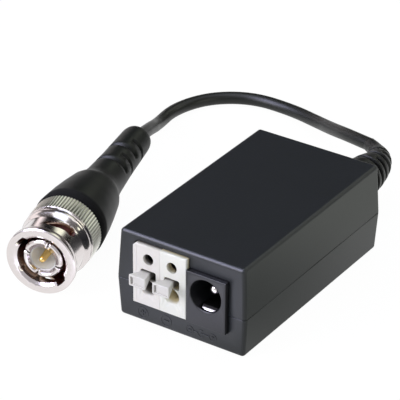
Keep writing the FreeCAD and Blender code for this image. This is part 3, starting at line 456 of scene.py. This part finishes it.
# Y where the bright end stops, and where the painted shade is full
leaf_mouth = -0.0234, -0.0231
leaf, tree, shader, place = surface("tinned_bronze_painted_shade", leaf_bright, 0.3, 1.0)
depth = add(tree, "ShaderNodeSeparateXYZ", {0: place}).outputs["Y"]
# Painted shade: nearly black further into the socket
painted_shade_share, tone = fade(tree, depth, *leaf_mouth, linear(leaf_bright), linear("#1c1b1a"))
tree.links.new(tone, shader.inputs["Base Color"])
rough = add(tree, "ShaderNodeMapRange", {"Value": painted_shade_share, "To Min": 0.25, "To Max": 0.6})
tree.links.new(rough.outputs[0], shader.inputs["Roughness"])
for contact in ("jack_spring_contact", "jack_switch_contact"):
    skin(contact, leaf)

# Jack pin. It stands in the middle of the socket, with its tail soldered to the board. It is
# turned from brass and bright nickel plated, so that it mirrors the room.
nickel_colour = "#e6dfde"
nickel, tree, shader, place = surface("bright_nickel_plate", nickel_colour, 0.16, 1.0)
tree.links.new(wander(tree, place, 0.9, 0.12, 0.22, detail=3.0), shader.inputs["Roughness"])
skin("jack_centre_pin", nickel, 30)

# Lead. A thin coaxial cable in an extruded PVC jacket, dark grey with a soft shine, goes from the
# strain relief to the plug, and lies on the table between them. Its route is in millimetres.
route = [(-41.4, 22.6, 8.0), (-43.9, 30.1, 5.8), (-47.6, 37.9, 2.1), (-49.5, 47.1, 1.35),
         (-46.1, 55.7, 1.35), (-38.4, 60.9, 1.35), (-28.6, 60.8, 1.35), (-19.5, 57.3, 2.4),
         (-13.7, 52.6, 4.8), (-7.4, 48.2, 7.2), (-1.4, 45.9, 8.0)]
cable_diameter = 2.7

jacket, tree, shader, place = surface("extruded_pvc_jacket", "#1a1c1a", 0.34)
shader.inputs["Specular IOR Level"].default_value = 0.33
tree.links.new(wander(tree, place, 0.3, 0.32, 0.46, detail=3.0), shader.inputs["Roughness"])

line = bpy.data.curves.new("coaxial_lead", "CURVE")
line.dimensions = "3D"
spline = line.splines.new("NURBS")
spline.points.add(len(route) - 1)
for point, (x, y, z) in zip(spline.points, route):
    point.co = (x / 1000, y / 1000, z / 1000, 1)
spline.order_u = 3
spline.use_endpoint_u = True
spline.resolution_u = 16
line.bevel_depth = cable_diameter / 2000
line.bevel_resolution = 8
line.materials.append(jacket)
lead = bpy.data.objects.new("coaxial_lead", line)
bpy.context.scene.collection.objects.link(lead)
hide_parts("coax_cable")
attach(lead, "case")

# Strain relief. Moulded in soft black PVC round the cable, satin and slightly uneven, with a neck
# that the shells grip. Grooves on one side and the other in turn let it bend. Millimetres.
relief_centre = Vector((0.00425, 0.0237, 0.0080))
relief_straight = 13.5
relief_bend = 9.5
# Half outlines as places along it and radii: what the case holds, and the taper behind the case
held = [(-3.4, 0.0), (-3.4, 4.2), (-2.02, 4.2), (-2.02, 2.6), (0.06, 2.6), (0.06, 4.8), (1.2, 4.8),
        (1.5, 4.5)]
taper = [(5.0, 4.4), (8.0, 4.3), (10.0, 4.1), (12.0, 3.85), (14.0, 3.42), (16.0, 3.0), (18.0, 2.6),
         (19.6, 2.15), (20.6, 1.85), (21.6, 1.62), (22.8, 1.5), (24.3, 1.43), (24.44, 1.38), (24.44, 0.0)]
grooves = [7.1, 9.05, 11.0, 12.95, 14.8, 16.5, 18.1]
groove_depth = 1.1
# A groove's section, as places from its middle and shares of its depth. No point of the taper is
# kept nearer to it than the second size, and the third is where its ends are filled in
groove_section = [(-0.58, 0.0), (-0.48, 0.12), (-0.36, 0.9), (0.36, 0.9), (0.48, 0.12), (0.58, 0.0)]
groove_clear = 0.5
groove_reach = 0.56
# Degrees round the relief: a groove's middle, its half length, and the run-out of its ends
groove_middle = 60
groove_half_sweep = 122.0
groove_run_out = 10
weld_distance = 0.0005


def relief_radius(station):
    """Radius in millimetres of the strain relief between its grooves."""
    for (start, first), (end, last) in zip(taper, taper[1:]):
        if station <= end:
            return first + (last - first) * max(station - start, 0) / (end - start)
    return 0.0


soft_pvc, tree, shader, place = surface("moulded_soft_pvc", "#121412", 0.4)
shader.inputs["Specular IOR Level"].default_value = 0.35
tree.links.new(wander(tree, place, 0.22, 0.36, 0.5, detail=3.0), shader.inputs["Roughness"])

grooved = [point for point in taper if all(abs(point[0] - groove) > groove_clear for groove in grooves)]
for groove in grooves:
    for offset, depth in groove_section:
        grooved.append((groove + offset, relief_radius(groove + offset) - groove_depth * depth))
outline = held + sorted(grooved, key=lambda point: (point[0], -point[1]))
form = bmesh.new()
chain = [form.verts.new((radius, station, 0)) for station, radius in outline]
for first, last in zip(chain, chain[1:]):
    form.edges.new((first, last))
bmesh.ops.spin(form, geom=form.verts[:] + form.edges[:], cent=(0, 0, 0), axis=(0, 1, 0),
               angle=math.radians(360), steps=96, use_merge=True)
bmesh.ops.remove_doubles(form, verts=form.verts, dist=weld_distance)
bmesh.ops.recalc_face_normals(form, faces=form.faces)
for vert in form.verts:
    x, station, z = vert.co
    radius = math.hypot(x, z)
    angle = math.atan2(z, x)
    for number, groove in enumerate(grooves):
        if abs(station - groove) < groove_reach and radius > 0:
            middle = math.radians(-groove_middle if number % 2 else groove_middle)
            away = abs((angle - middle + math.pi) % math.tau - math.pi)
            filled = min(max((math.degrees(away) - groove_half_sweep) / groove_run_out, 0), 1)
            radius += (relief_radius(station) - radius) * filled
    turn = max(station - relief_straight, 0) / relief_bend
    middle = Vector((-relief_bend * (1 - math.cos(turn)),
                     min(station, relief_straight) + relief_bend * math.sin(turn), 0))
    side = Vector((math.cos(turn), math.sin(turn), 0))
    vert.co = relief_centre + (middle + side * radius * math.cos(angle)
                               + Vector((0, 0, radius * math.sin(angle)))) / 1000
mesh = bpy.data.meshes.new("strain_relief")
form.to_mesh(mesh)
form.free()
mesh.materials.append(soft_pvc)
mesh.polygons.foreach_set("use_smooth", [True] * len(mesh.polygons))
mesh.set_sharp_from_angle(angle=math.radians(50))
relief = bpy.data.objects.new("strain_relief", mesh)
bpy.context.scene.collection.objects.link(relief)
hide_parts("cable_grommet")
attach(relief, "case")

# Boot. A bell of the same soft PVC, a little duller, moulded round the crimp, with grooves that let its tail
# bend. Its front rim lies in the coupling's shade, so there its colour is painted nearly black, a painted
# shade, and it is rougher.
plug_axis = (-0.23848, 0.97091, 0.02158)
plug_face = -0.018299
boot_colour = "#131614"
# Metres behind the coupling's face between which the painted shade fades out, and the roughness that it adds
# at the rim
boot_rim_painted_shade = 0.0150, 0.0158
rim_roughness = 0.5
boot_pvc, tree, shader, place = surface("moulded_boot_pvc", boot_colour, 0.42)
shader.inputs["Specular IOR Level"].default_value = 0.26
station = add(tree, "ShaderNodeVectorMath", {0: place, 1: plug_axis}, operation="DOT_PRODUCT")
# Painted shade: nearly black at the front rim
behind_rim, tone = fade(tree, station.outputs["Value"], *[plug_face + along for along in boot_rim_painted_shade],
                        linear("#030303"), linear(boot_colour))
tree.links.new(tone, shader.inputs["Base Color"])
at_rim = add(tree, "ShaderNodeMath", {0: behind_rim, 1: -rim_roughness, 2: rim_roughness},
             operation="MULTIPLY_ADD")
rough = add(tree, "ShaderNodeMath", {0: at_rim.outputs[0],
                                     1: wander(tree, place, 0.22, 0.36, 0.5, detail=3.0)}, operation="ADD")
tree.links.new(rough.outputs[0], shader.inputs["Roughness"])
boot = skin("plug_boot", boot_pvc, 40)

# Plug body and ferrule. Both are turned from brass and bright nickel plated. The ferrule is
# crimped over the body's stem and the cable, inside the boot.
skin("crimp_ferrule", nickel, 30)
body = skin("plug_body", nickel, 30)

# Insulator. It is turned from PTFE and lies inside the body, where it holds the pin in the
# middle. Its white is slightly pearly.
insulator, tree, shader, place = surface("turned_ptfe", "#e4e4e2", 0.35)
tree.links.new(wander(tree, place, 0.5, 0.3, 0.42), shader.inputs["Roughness"])
white_core = skin("plug_insulator", insulator, 30)

# Centre pin. It is turned from brass and gold plated, which gives it a warm shine, and it sits
# in the insulator.
gold, tree, shader, place = surface("gold_plate", "#dfc07a", 0.2, 1.0)
tree.links.new(wander(tree, place, 1.5, 0.15, 0.28), shader.inputs["Roughness"])
pin = skin("plug_centre_pin", gold, 30)

# Gasket. A ring moulded in dark red silicone, half matt, lies round the contact sleeve at the
# body's shoulder, where it seals the joint.
silicone, tree, shader, place = surface("moulded_silicone", "#5a1510", 0.4)
tree.links.new(wander(tree, place, 0.8, 0.34, 0.5), shader.inputs["Roughness"])
gasket = skin("plug_gasket", silicone, 30)

# Washers and clip. Stamped from the same bright spring steel as the clamps, they lie on the body's neck
# inside the coupling. The wave washer gets a mesh of its own; on the real plug it goes flat as the coupling
# is drawn.
plug_mouth = (-0.02939, -0.02622, 0.0069)
for ring in ("wave_washer", "thrust_washer", "retaining_clip"):
    skin(ring, spring_steel)
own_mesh(nodes["wave_washer"])

# Coupling sleeve. Turned from brass and nickel plated as the body is, it turns and slides on the body's
# neck. Its rear grip is knurled and bead blasted, which leaves the plating satin there. On the grip the
# colour is painted darker at the teeth's roots, a painted shade, and lighter at their tips, a painted
# highlight.
# Metres behind the face where the grip begins, and the roughness that the blasting adds
grip_start = 0.0084, 0.0088
grip_roughness = 0.16
# Radii of the teeth's roots and tips, between which the painted shade turns to painted highlight, and of the
# wall between the outside and the bore
tooth_root, tooth_tip = 0.00686, 0.00702
bore_wall = 0.0062, 0.0060
# Metres behind the face where the bore's painted reflection begins and where it is full
bore_painted_reflection = 0.0008, 0.0016
knurled_nickel, tree, shader, place = surface("knurled_nickel_plate", nickel_colour, 0.16, 1.0)
station = add(tree, "ShaderNodeVectorMath", {0: place, 1: plug_axis}, operation="DOT_PRODUCT")
away = add(tree, "ShaderNodeVectorMath", {0: place, 1: plug_mouth}, operation="SUBTRACT")
away = add(tree, "ShaderNodeVectorMath", {0: away.outputs[0], 1: plug_axis}, operation="CROSS_PRODUCT")
away = add(tree, "ShaderNodeVectorMath", {0: away.outputs[0]}, operation="LENGTH")
# Painted shade at the teeth's roots and painted highlight at their tips
teeth_shade_and_highlight = fade(tree, away.outputs["Value"], tooth_root, tooth_tip, linear("#b9b9ab"), linear("#fffff8"))[1]
grip, outer = fade(tree, station.outputs["Value"], *[plug_face + along for along in grip_start],
                   linear(nickel_colour), teeth_shade_and_highlight)
# The bore's colour is painted brownish, a painted reflection of its own walls
inside = add(tree, "ShaderNodeMapRange", {"Value": away.outputs["Value"], "From Min": bore_wall[0],
                                          "From Max": bore_wall[1]})
painted_deep = add(tree, "ShaderNodeMapRange", {"Value": station.outputs["Value"],
                                        "From Min": plug_face + bore_painted_reflection[0],
                                        "From Max": plug_face + bore_painted_reflection[1]})
inside = add(tree, "ShaderNodeMath", {0: inside.outputs[0], 1: painted_deep.outputs[0]}, operation="MULTIPLY")
tone = add(tree, "ShaderNodeMix", {"Factor": inside.outputs[0], near_colour: outer,
                                   far_colour: linear("#a58f7d")}, data_type="RGBA")
tree.links.new(tone.outputs[2], shader.inputs["Base Color"])
rough = add(tree, "ShaderNodeMath", {0: grip, 1: grip_roughness,
                                     2: wander(tree, place, 0.9, 0.12, 0.22, detail=3.0)},
            operation="MULTIPLY_ADD")
tree.links.new(rough.outputs[0], shader.inputs["Roughness"])
sleeve = skin("coupling_sleeve", knurled_nickel, 25)
